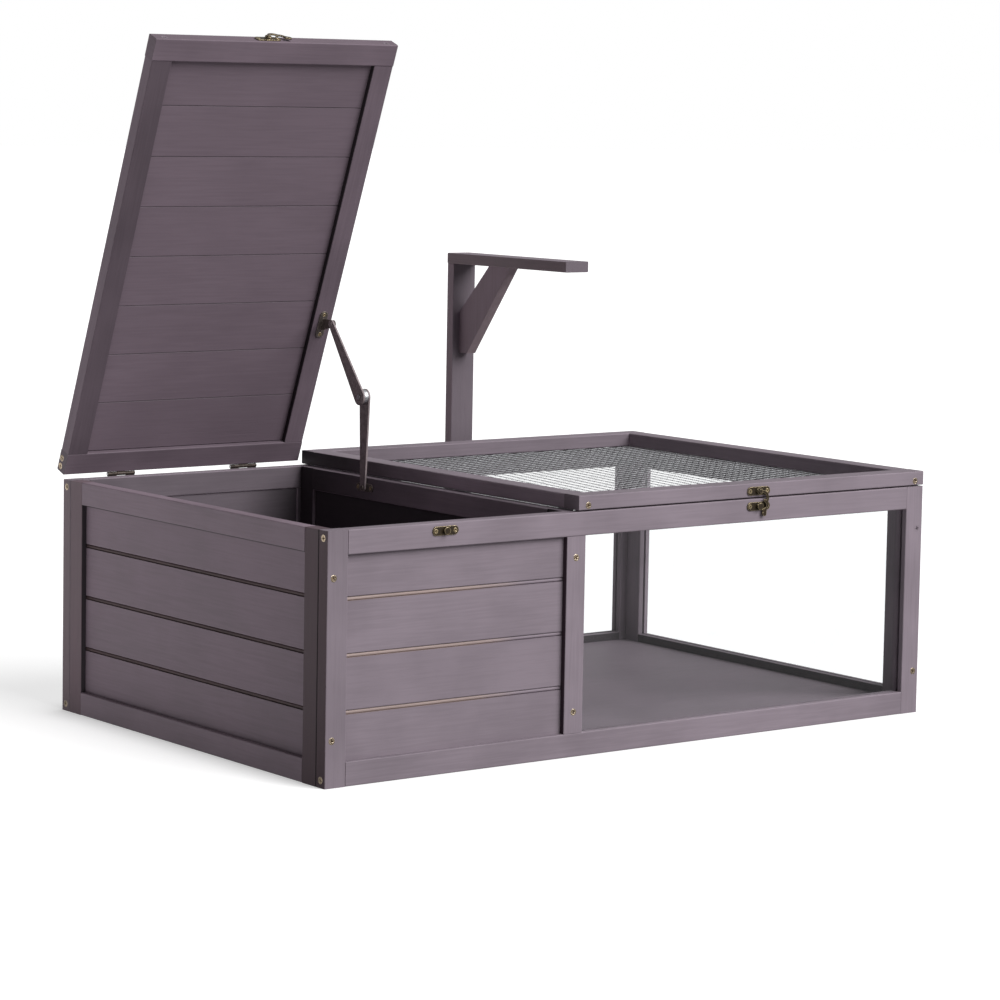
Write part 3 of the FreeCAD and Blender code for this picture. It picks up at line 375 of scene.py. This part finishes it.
def stile_shade(graph, place, normal):
    """Painted shade: the left wall's front stile is darker than its back one and dark on its faces towards
    the front, and the joints beside the corners are dark.
    """
    front_stile, back_stile = (0.42, 0.35, 0.355), (0.73, 0.63, 0.63)
    between_stiles = (-0.1, 0.1)
    inward = graph.split(place)[Y]
    low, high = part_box("left_stiles")
    painted_shade_tone = graph.blend(graph.spread(inward, *between_stiles), front_stile, back_stile)
    painted_shade_tone = graph.blend(graph.facing(normal, FRONT), painted_shade_tone, 0.20)
    front_joint = graph.spread(inward, low.y + JOINT_LINE, low.y + 2 * JOINT_LINE, 1.0, 0.0)
    back_joint = graph.spread(inward, high.y - 2 * JOINT_LINE, high.y - JOINT_LINE)
    dark = graph.math("MULTIPLY", graph.math("MAXIMUM", front_joint, back_joint), 0.75)
    return graph.blend(dark, painted_shade_tone, 0.05)


def rail_shade(graph, place, normal):
    """Painted shade: the left wall's rails are warmer than the frame, and the top rail's lower edge is
    dark.
    """
    under = graph.spread(graph.split(normal)[Z], -0.60, -0.25, 1.0, 0.0)
    return graph.blend(under, (1.0, 0.93, 0.96), 0.12)


def left_board_shade(graph, place, normal):
    """Painted shade: the left wall's boards are warmer than the frame, with a painted shadow close under
    the top rail.
    """
    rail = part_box("left_top_rail")[0].z
    near = graph.spread(graph.split(place)[Z], rail - 3 * JOINT_LINE, rail - JOINT_LINE)
    return graph.blend(near, (1.0, 0.92, 0.96), 0.25)


def bottom_rail_shade(graph, place, normal):
    """Painted shade: the front bottom rail is darker at its left end."""
    left_part = (-0.45, 0.15)
    return graph.spread(graph.split(place)[X], *left_part, 0.82, 0.98)


def lid_board_shade(graph, place, normal):
    """Painted shade: the lid boards' bevelled edges are dark."""
    flatness = graph.math("ABSOLUTE", graph.split(normal)[Z])
    return graph.spread(flatness, *BEVEL_TO_FLAT, 0.58, PLAIN)


def lid_side_shade(graph, place, normal):
    """Painted shade and light: the lid's left rail is darker than its right rail, whose edge towards the
    boards is dark, and the left rail's outer side is a little paler.
    """
    between_rails = (-0.40, -0.20)
    across = graph.split(place)[X]
    face = graph.spread(across, *between_rails, 0.58, 0.90)
    edge = graph.spread(across, *between_rails, 1.10, 0.12)
    return graph.blend(graph.facing(normal, LEFT), face, edge)


def mesh_lid_shade(graph, place, normal):
    """Painted shade and light: the mesh lid's back rail is dark in front, and its left rail's edge turns
    from pale to dark.
    """
    pale_to_dark = (-0.08, 0.22)
    between_rails = (0.0, 0.3)
    across, inward, _ = graph.split(place)
    left_edge = graph.spread(inward, *pale_to_dark, 1.90, 0.20)
    edge = graph.spread(across, *between_rails, left_edge, 1.15)
    sides = graph.blend(graph.facing(normal, LEFT), PLAIN, edge)
    return graph.blend(graph.facing(normal, FRONT), sides, 0.74)


def lamp_shade(graph, place, normal):
    """Painted shade and light: the lamp stand's front faces are darker than its side faces, and its
    slanting underside is paler and warm.
    """
    side = graph.blend(graph.facing(normal, LEFT), PLAIN, (0.98, 0.87, 0.89))
    front = graph.blend(graph.facing(normal, FRONT), side, 0.64)
    slant = graph.spread(graph.split(normal)[Z], -0.70, -0.30, 1.0, 0.0)
    return graph.blend(slant, front, (1.15, 1.07, 1.0))


def lamp_arm_shade(graph, place, normal):
    """Painted shade: the lamp arm's side is darker than the post's."""
    return graph.blend(graph.facing(normal, LEFT), lamp_shade(graph, place, normal), (0.80, 0.72, 0.70))


def metal(name, colour, rough, dull, metallic=1.0, worn_and_highlit=None):
    """Metal with a mottled finish: dull spots are darker and rougher, and worn edges are bright, partly as
    a painted highlight.
    """
    material, graph = new_material(name)
    place, _ = object_place(graph)
    spots = graph.noise(place, SPOTS, detail=4.0, rough=0.6)
    specks = graph.noise(place, SPECKS, rough=0.6)
    share = graph.spread(spots, 0.38, 0.66)
    shown = graph.blend(share, colour, scaled(colour, dull))
    rounded = None
    if worn_and_highlit:
        rounded = graph.add("Bevel", {"Radius": WORN_AND_HIGHLIT_WIDTH}, samples=6).outputs[0]
        flat = graph.add("NewGeometry").outputs["True Normal"]
        meet = graph.add("VectorMath", {0: rounded, 1: flat}, operation="DOT_PRODUCT").outputs["Value"]
        # Bright edges where the rounded normal leaves the flat one: wear and a painted highlight
        rim = graph.math("MULTIPLY", graph.spread(meet, 0.88, 0.997, 1.0, 0.0),
                         graph.spread(spots, 0.30, 0.60, 1.0, 0.45))
        shown = graph.blend(rim, shown, worn_and_highlit)
    speckled = graph.spread(specks, 0.3, 0.7, rough - 0.06, rough + 0.06)
    graph.show(graph.add("BsdfPrincipled", {
        "Base Color": shown,
        "Metallic": metallic,
        "Roughness": graph.math("ADD", graph.math("MULTIPLY", share, 0.18), speckled),
        "Normal": graph.bump(specks, DENT, strength=0.5, normal=rounded),
    }))
    return material


def clear_sheet():
    """Clear window sheet: reflects at a slant, lets light through, with faint smears."""
    material, graph = new_material("clear_window")
    place, _ = object_place(graph)
    smear = graph.noise(graph.mapped(place, scale=(5, 5, 16)), 1.0, detail=4.0, rough=0.6, distort=0.8)
    shine = graph.add("BsdfGlossy", {"Roughness": graph.spread(smear, 0.35, 0.75, 0.02, 0.06)})
    tint = graph.blend(graph.spread(smear, 0.4, 0.8), (0.985, 0.990, 0.990), (0.965, 0.972, 0.972))
    through = graph.add("BsdfTransparent", {"Color": tint})
    slant = graph.add("LayerWeight", {"Blend": 0.5}).outputs["Facing"]
    gloss = graph.math("MULTIPLY_ADD", graph.math("POWER", slant, 5.0), 0.9, 0.04)
    graph.show(graph.add("MixShader", {0: gloss, 1: through.outputs[0], 2: shine.outputs[0]}))
    return material


def dress(material, *names):
    """Give a material to CAD nodes, through the objects' own slots."""
    for name in names:
        thing = nodes[name]
        if not thing.material_slots:
            thing.data.materials.append(material)
        for holder in thing.material_slots:
            holder.link = "OBJECT"
            holder.material = material


def placed(name, data):
    """A new object of the scene."""
    thing = bpy.data.objects.new(name, data)
    scene.collection.objects.link(thing)
    return thing


def mesh_object(name, shape, material):
    """A new object from a bmesh, which is used up."""
    data = bpy.data.meshes.new(name)
    shape.to_mesh(data)
    shape.free()
    data.materials.append(material)
    return placed(name, data)


def mesh_piece(name, shape, material, body):
    """A new piece from a bmesh, riding on a body."""
    piece = mesh_object(name, shape, material)
    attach(piece, body)
    return piece


def islands(thing):
    """The separate solids of a CAD node, each as an array of points."""
    shape = bmesh.new()
    shape.from_mesh(thing.data)
    bmesh.ops.remove_doubles(shape, verts=shape.verts, dist=SAME_POINT)
    left = set(shape.verts)
    found = []
    while left:
        start = left.pop()
        members = [start]
        queue = [start]
        while queue:
            for edge in queue.pop().link_edges:
                for vert in edge.verts:
                    if vert in left:
                        left.remove(vert)
                        members.append(vert)
                        queue.append(vert)
        found.append(np.array([vert.co for vert in members]))
    shape.free()
    return found


def screw_places(thing):
    """Head centre, inward aim, length and head radius of each screw in a node."""
    places = []
    for points in islands(thing):
        centre = points.mean(0)
        aim = np.linalg.svd(points - centre)[2][0]
        reach = (points - centre) @ aim
        radius = np.linalg.norm(points - centre - np.outer(reach, aim), axis=1)
        near_end = reach < reach.min() + SAME_LEVEL
        far_end = reach > reach.max() - SAME_LEVEL
        if radius[near_end].max() < radius[far_end].max():
            aim = -aim
            reach = -reach
            near_end = reach < reach.min() + SAME_LEVEL
        head = points[near_end].mean(0)
        places.append((Vector(head), Vector(aim), float(np.ptp(reach)), float(radius.max())))
    return sorted(places, key=lambda place: tuple(round(part, 5) for part in place[0]))


def neighbours(loop):
    """Each point of a closed loop with the next one."""
    return list(zip(loop, loop[1:] + loop[:1]))


def bridge(shape, first, second):
    """A band of faces between two loops of as many points."""
    for (start, end), (far_start, far_end) in zip(neighbours(first), neighbours(second)):
        shape.faces.new((start, end, far_end, far_start))


def fan(shape, loop, point):
    """Faces from a loop to one point."""
    for start, end in neighbours(loop):
        shape.faces.new((start, end, point))


def add_screw(shape, head, aim, length, radius, turn):
    """A countersunk screw with a cross recess in its head."""
    aimed = aim.to_track_quat("Z", "Y").to_matrix().to_4x4()
    place = Matrix.Translation(head) @ aimed @ Matrix.Rotation(turn, 4, "Z")
    shank = radius * 0.5
    sink = radius * 0.6
    mouth_size = radius * 0.66
    floor_size = radius * 0.40
    floor_depth = radius * 0.62
    pit_depth = radius * 0.80
    point_length = shank * 2.2
    arm_share = 0.24

    def vert(*spot):
        return shape.verts.new(place @ Vector(spot))

    def ring(reach, level):
        angles = [math.tau * side / SCREW_SIDES for side in range(SCREW_SIDES)]
        return [vert(reach * math.cos(angle), reach * math.sin(angle), level) for angle in angles]

    def cross(size, level):
        half = size * arm_share
        corners = []
        for quarter in range(4):
            spin = Matrix.Rotation(math.tau * quarter / 4, 4, "Z")
            for corner in ((size, -half), (size, half), (half, half)):
                corners.append(vert(*(spin @ Vector((*corner, level)))))
        return corners

    rim = ring(radius, 0.0)
    mouth = cross(mouth_size, 0.0)
    edges = [shape.edges.new(pair) for loop in (rim, mouth) for pair in neighbours(loop)]
    bmesh.ops.triangle_fill(shape, use_beauty=True, edges=edges)
    recess_floor = cross(floor_size, floor_depth)
    bridge(shape, mouth, recess_floor)
    fan(shape, recess_floor, vert(0, 0, pit_depth))
    collar = ring(shank, sink)
    shank_end = ring(shank, length - point_length)
    bridge(shape, rim, collar)
    bridge(shape, collar, shank_end)
    fan(shape, shank_end, vert(0, 0, length))


def painted_over(head):
    """Whether a head was painted with the wood: at the lid's front corners and high on the right stile."""
    low, high = PAINTED_HEIGHTS
    lid_corner = head.z > LID_CORNER_HEIGHT and abs(head.x - HIDE_LATCH_X) > LATCH_REACH
    high_right = head.x > RIGHT_STILE_X and head.y < FRONT_FACE_Y and low < head.z < high
    return lid_corner or high_right


def screw_piece(node, body, wood_screw, paint_cover, plate_screw):
    """The screws of one CAD node with cross recesses, each turned a little differently."""
    finishes = (wood_screw, paint_cover, plate_screw)
    first_turn, turn_step = 0.35, 1.13
    shape = bmesh.new()
    for number, (head, aim, length, radius) in enumerate(screw_places(nodes[node])):
        made = len(shape.faces)
        add_screw(shape, head, aim, length, radius, first_turn + turn_step * number)
        shape.faces.ensure_lookup_table()
        finish = wood_screw if radius > SMALL_HEAD else plate_screw
        if painted_over(head):
            finish = paint_cover
        for face in shape.faces[made:]:
            face.material_index = finishes.index(finish)
    bmesh.ops.recalc_face_normals(shape, faces=shape.faces)
    piece = mesh_piece(node + "_crossed", shape, wood_screw, body)
    piece.data.materials.append(paint_cover)
    piece.data.materials.append(plate_screw)
    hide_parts(node)


def add_wire(shape, start, end, radii, steps=1, twist=0.0):
    """A wire from start to end, with its own two radii and a twist along its length."""
    aim = (end - start).to_track_quat("Z", "Y").to_matrix()
    rings = []
    for step in range(steps + 1):
        turn = aim @ Matrix.Rotation(twist * step / steps, 3, "Z")
        ring = []
        for side in range(WIRE_SIDES):
            angle = math.tau * side / WIRE_SIDES
            flat = Vector((radii[0] * math.cos(angle), radii[1] * math.sin(angle), 0))
            ring.append(shape.verts.new(start.lerp(end, step / steps) + turn @ flat))
        rings.append(ring)
    for first, second in zip(rings, rings[1:]):
        bridge(shape, first, second)
    shape.faces.new(rings[0])
    shape.faces.new(rings[-1])


def clipped(start, end, least, most):
    """The part of a straight line that lies over a flat box, or nothing."""
    near, far = 0.0, 1.0
    for axis in (X, Y):
        span = end[axis] - start[axis]
        limits = sorted(((least[axis] - start[axis]) / span, (most[axis] - start[axis]) / span))
        near, far = max(near, limits[0]), min(far, limits[1])
    return (start.lerp(end, near), start.lerp(end, far)) if far - near > SHORTEST_SHARE else None


def netting():
    """Six-sided wire netting, stretched a little askew, with its twisted pairs from back to front."""
    low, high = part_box("wire_mesh")
    margin = Vector((NET_MARGIN, NET_MARGIN, 0))
    least, most = low + margin, high - margin
    # The left edge lies under the rail's outer side, over the partition, and shuts the slit there
    least.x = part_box("mesh_lid_side_rails")[0].x + NET_UNDER_RAIL
    middle = (low + high) / 2
    half_pair = Vector((-NET_COLUMN.y, NET_COLUMN.x, 0)).normalized() * HALF_PAIR
    shape = bmesh.new()
    reach = int((high - low).length / NET_COLUMN.length)
    for down in range(-reach, reach + 1):
        for across in range(-reach, reach + 1):
            knot = middle + down * NET_ROW + across * NET_COLUMN
            pair = clipped(knot - half_pair, knot + half_pair, least, most)
            if pair:
                add_wire(shape, *pair, PAIR_RADII, PAIR_STEPS, PAIR_TWIST)
            for following in (NET_ROW, NET_ROW - NET_COLUMN):
                single = clipped(knot + half_pair, knot + following - half_pair, least, most)
                if single:
                    add_wire(shape, *single, SINGLE_RADII)
    corners = [Vector((least.x, least.y, middle.z)), Vector((most.x, least.y, middle.z)),
               Vector((most.x, most.y, middle.z)), Vector((least.x, most.y, middle.z))]
    for first, second in neighbours(corners):
        add_wire(shape, first, second, EDGE_RADII)
    bmesh.ops.recalc_face_normals(shape, faces=shape.faces)
    zinc = metal("zinc_wire", (0.70, 0.71, 0.73), rough=0.38, dull=0.75, metallic=0.2)
    piece = mesh_piece("wire_netting", shape, zinc, "mesh_lid")
    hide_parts("wire_mesh")
    for face in piece.data.polygons:
        face.use_smooth = True


def coat(name, grain, *names, **looks):
    """Paint of its own on some CAD nodes."""
    dress(paint(name, grain, **looks), *names)


def dress_walls():
    """Paint on the walls, the floor and what shares their plain coats, with the grain along each piece and
    painted shade and light on many pieces.
    """
    front_joint = (front_bead, Y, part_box("front_boards")[0].y)
    left_joint = (shaded_bead, X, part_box("left_boards")[0].x)
    # The back wall's inner faces carry painted shade, darkest in the run and beside the partition
    room_shade = changing_stain(FRONT, along=X, places=(-0.13, -0.11), tones=(0.55, 0.24))
    back_board_shade = changing_stain(FRONT, along=X, places=(-0.215, -0.125), tones=(0.53, 0.18))
    # Painted shade on the left sides of the right wall's rails, the front middle post and the back left
    # stile
    run_shade = side_stain(LEFT, 0.28)
    post_shade = side_stain(LEFT, (0.16, 0.11, 0.14))
    back_corner_shade = side_stain(LEFT, (0.81, 0.75, 0.73))
    coat("paint_grain_x", X, "front_top_rail", "lamp_spacers", "mesh_lid_front_rail", "floor_panel")
    coat("paint_grain_y", Y, "floor_bearers")
    coat("paint_grain_z", Z, "back_right_stile", "right_stiles")
    # The front boards are painted a little darker, as painted shade
    coat("paint_front_boards", X, "front_boards", boards=WALL_BOARDS, stain=scaled(PAINT, 0.925),
         joint=front_joint)
    coat("paint_bottom_rail", X, "front_bottom_rail", shade=bottom_rail_shade)
    coat("paint_corner_stile", Z, "front_left_stile", shade=corner_shade)
    coat("paint_middle_post", Z, "front_middle_post", shade=post_shade)
    # The right corner stile is painted a little paler, as painted light
    coat("paint_right_corner", Z, "front_right_stile", stain=scaled(PAINT, 1.07))
    coat("paint_left_boards", Y, "left_boards", boards=WALL_BOARDS, joint=left_joint,
         shade=left_board_shade)
    coat("paint_left_stiles", Z, "left_stiles", shade=stile_shade)
    coat("paint_left_rails", Y, "left_top_rail", "left_bottom_rail", shade=rail_shade)
    coat("paint_back_boards", X, "back_boards", boards=WALL_BOARDS, shade=back_board_shade)
    coat("paint_back_rails", X, "back_top_rail", "back_bottom_rail", shade=room_shade)
    coat("paint_back_corner", Z, "back_left_stile", shade=back_corner_shade)
    coat("paint_back_post", Z, "back_middle_post", shade=room_shade)
    coat("paint_right_rails", Y, "right_top_rail", "right_bottom_rail", shade=run_shade)


def dress_partition():
    """Paint on the partition with painted shade and light: nearly black towards the hide, and its top rail
    pale in front and darker towards the back.
    """
    hide_shade = side_stain(LEFT, 0.14)
    top_rail_shade = changing_stain(LEFT, along=Y, places=(-0.10, 0.27), tones=(1.40, 0.16))
    coat("paint_partition_boards", Y, "partition_boards", boards=WALL_BOARDS, shade=hide_shade)
    coat("paint_partition_lintel", Y, "partition_lintel", shade=hide_shade)
    coat("paint_partition_posts", Z, "partition_stiles", "partition_door_posts", shade=hide_shade)
    coat("paint_partition_rail", Y, "partition_top_rail", shade=top_rail_shade)


def dress_lids_and_lamp():
    """Paint on both lids and on the lamp stand, with painted shade and light on many faces."""
    coat("paint_lid_front_rail", X, "hide_lid_front_rail", slanted=True, stain=LID_SHADED_PAINT)
    # The lid's back rail is painted darker still, as painted shade
    coat("paint_lid_back_rail", X, "hide_lid_back_rail", slanted=True, stain=scaled(LID_SHADED_PAINT, 0.80))
    coat("paint_lid_sides", Y, "hide_lid_side_rails", slanted=True, stain=LID_SHADED_PAINT, shade=lid_side_shade)
    coat("paint_lid_boards", X, "hide_lid_boards", slanted=True, boards=LID_BOARDS, stain=LID_SHADED_PAINT,
         shade=lid_board_shade, clouds=0.04)
    coat("paint_mesh_lid_back", X, "mesh_lid_back_rail", shade=mesh_lid_shade)
    coat("paint_mesh_lid_sides", Y, "mesh_lid_side_rails", shade=mesh_lid_shade)
    coat("paint_lamp_upright", Z, "lamp_post", "lamp_brace", shade=lamp_shade)
    coat("paint_lamp_arm", Y, "lamp_arm", shade=lamp_arm_shade)


def dress_fittings():
    """Windows, netting, hinges, latches, stay and screws."""
    brass = metal("antique_brass", BRONZE, rough=0.28, dull=0.45, metallic=0.5, worn_and_highlit=GOLD)
    hinge = metal("hinge_bronze", (0.055, 0.042, 0.034), rough=0.45, dull=0.6, metallic=0.6,
                  worn_and_highlit=(0.16, 0.12, 0.09))
    stay = metal("dark_stay", (0.29, 0.235, 0.245), rough=0.50, dull=0.75, metallic=0.1,
                 worn_and_highlit=(0.38, 0.32, 0.32))
    plate = metal("stay_plate", (0.135, 0.112, 0.10), rough=0.40, dull=0.6, metallic=0.4,
                  worn_and_highlit=(0.40, 0.34, 0.29))
    steel = metal("bright_steel", (0.55, 0.55, 0.57), rough=0.30, dull=0.75)
    dress(clear_sheet(), "front_window", "back_window", "right_window")
    dress(brass, "latch_strikes", "hide_latch_plate", "mesh_latch_plate", "hide_latch_hook",
          "mesh_latch_hook")
    dress(hinge, "hinge_fixed_leaves", "hide_lid_hinge_leaves", "mesh_lid_hinge_leaves")
    dress(stay, "stay_lower_arm", "stay_upper_arm")
    dress(plate, "stay_foot_plate", "stay_head_bracket")
    dress(steel, "stay_knuckle", "hinge_pins")
    screws = metal("screw_brass", (0.50, 0.385, 0.27), rough=0.26, dull=0.40, worn_and_highlit=(0.90, 0.78, 0.62))
    cover = paint("paint_on_screws", X)
    small = metal("plate_screws", (0.20, 0.145, 0.075), rough=0.24, dull=0.40, metallic=0.5, worn_and_highlit=GOLD)
    for node, body in (("house_screws", "house"), ("house_trim_screws", "house"),
                       ("hide_lid_screws", "hide_lid"), ("mesh_lid_screws", "mesh_lid")):
        screw_piece(node, body, screws, cover, small)
    netting()


def floor():
    """White floor, which keeps the house's shadow, with a painted contact shadow close to the house, and
    throws some light back, most of it on the left.
    """
    shape = bmesh.new()
    bmesh.ops.create_grid(shape, x_segments=1, y_segments=1, size=40.0)
    material, graph = new_material("studio_white")
    place, _ = object_place(graph)
    across, inward, _ = graph.split(place)
    to_camera = graph.add("LightPath").outputs["Is Camera Ray"]
    pale = graph.blend(graph.noise(place, 3.0), scaled(WHITE, 0.68), scaled(WHITE, 0.72))
    lit = graph.add("BsdfDiffuse", {"Color": graph.blend(to_camera, BLACK, pale)})
    left_side = graph.spread(across, -0.75, -0.40, 1.0, 0.0)
    behind = graph.spread(inward, -0.45, 0.20, 0.15, 1.0)
    bounce = graph.math("MULTIPLY_ADD", graph.math("MULTIPLY", left_side, behind), 0.80, 0.36)
    # To the eye the floor glows less where the house hems it in: a painted contact shadow
    painted_shadow_openness = graph.add("AmbientOcclusion", {"Distance": 0.07}, samples=8).outputs["AO"]
    seen = graph.spread(painted_shadow_openness, 0.45, 1.0, 0.42, 0.74)
    strength = graph.spread(to_camera, 0.0, 1.0, bounce, seen)
    glow = graph.add("Emission", {"Color": WHITE, "Strength": strength})
    graph.show(graph.add("AddShader", {0: lit.outputs[0], 1: glow.outputs[0]}))
    mesh_object("studio_floor", shape, material)


def surroundings():
    """White to the eye and through the windows, half as bright in reflections, and faint as a light."""
    scene.world = bpy.data.worlds.new("studio_world")
    scene.world.use_nodes = True
    graph = Graph(scene.world.node_tree, "OutputWorld")
    ray = graph.add("LightPath").outputs
    seen = graph.math("MAXIMUM", ray["Is Camera Ray"], ray["Is Transmission Ray"])
    mirrored = graph.math("MULTIPLY", ray["Is Glossy Ray"], 0.5)
    strength = graph.math("MAXIMUM", seen, graph.math("MAXIMUM", mirrored, 0.06))
    graph.show(graph.add("Background", {"Color": WHITE, "Strength": strength}))


def key_light():
    """A broad soft light from the front right and above."""
    azimuth, elevation = math.radians(25.0), math.radians(38.0)
    distance = 6.0
    data = bpy.data.lights.new("key", "SUN")
    data.energy = 3.5
    data.angle = math.radians(50.0)
    source = Vector((math.sin(azimuth) * math.cos(elevation), -math.cos(azimuth) * math.cos(elevation),
                     math.sin(elevation)))
    lamp = placed("key", data)
    lamp.location = source * distance
    lamp.rotation_euler = (-source).to_track_quat("-Z", "Y").to_euler()


def camera():
    """The photograph's view."""
    data = bpy.data.cameras.new("photo_camera")
    data.sensor_width = 36.0
    data.lens = 121.4177
    data.shift_x = 0.0502007
    data.shift_y = -0.0766403
    data.clip_end = 60.0
    eye = placed("photo_camera", data)
    eye.location = (-2.63135, -3.42907, 0.78841)
    eye.rotation_euler = [math.radians(angle) for angle in (84.51642, -0.93888, -36.58214)]
    scene.camera = eye


scene.view_settings.view_transform = "Standard"
dress_walls()
dress_partition()
dress_lids_and_lamp()
dress_fittings()
floor()
surroundings()
key_light()
camera()
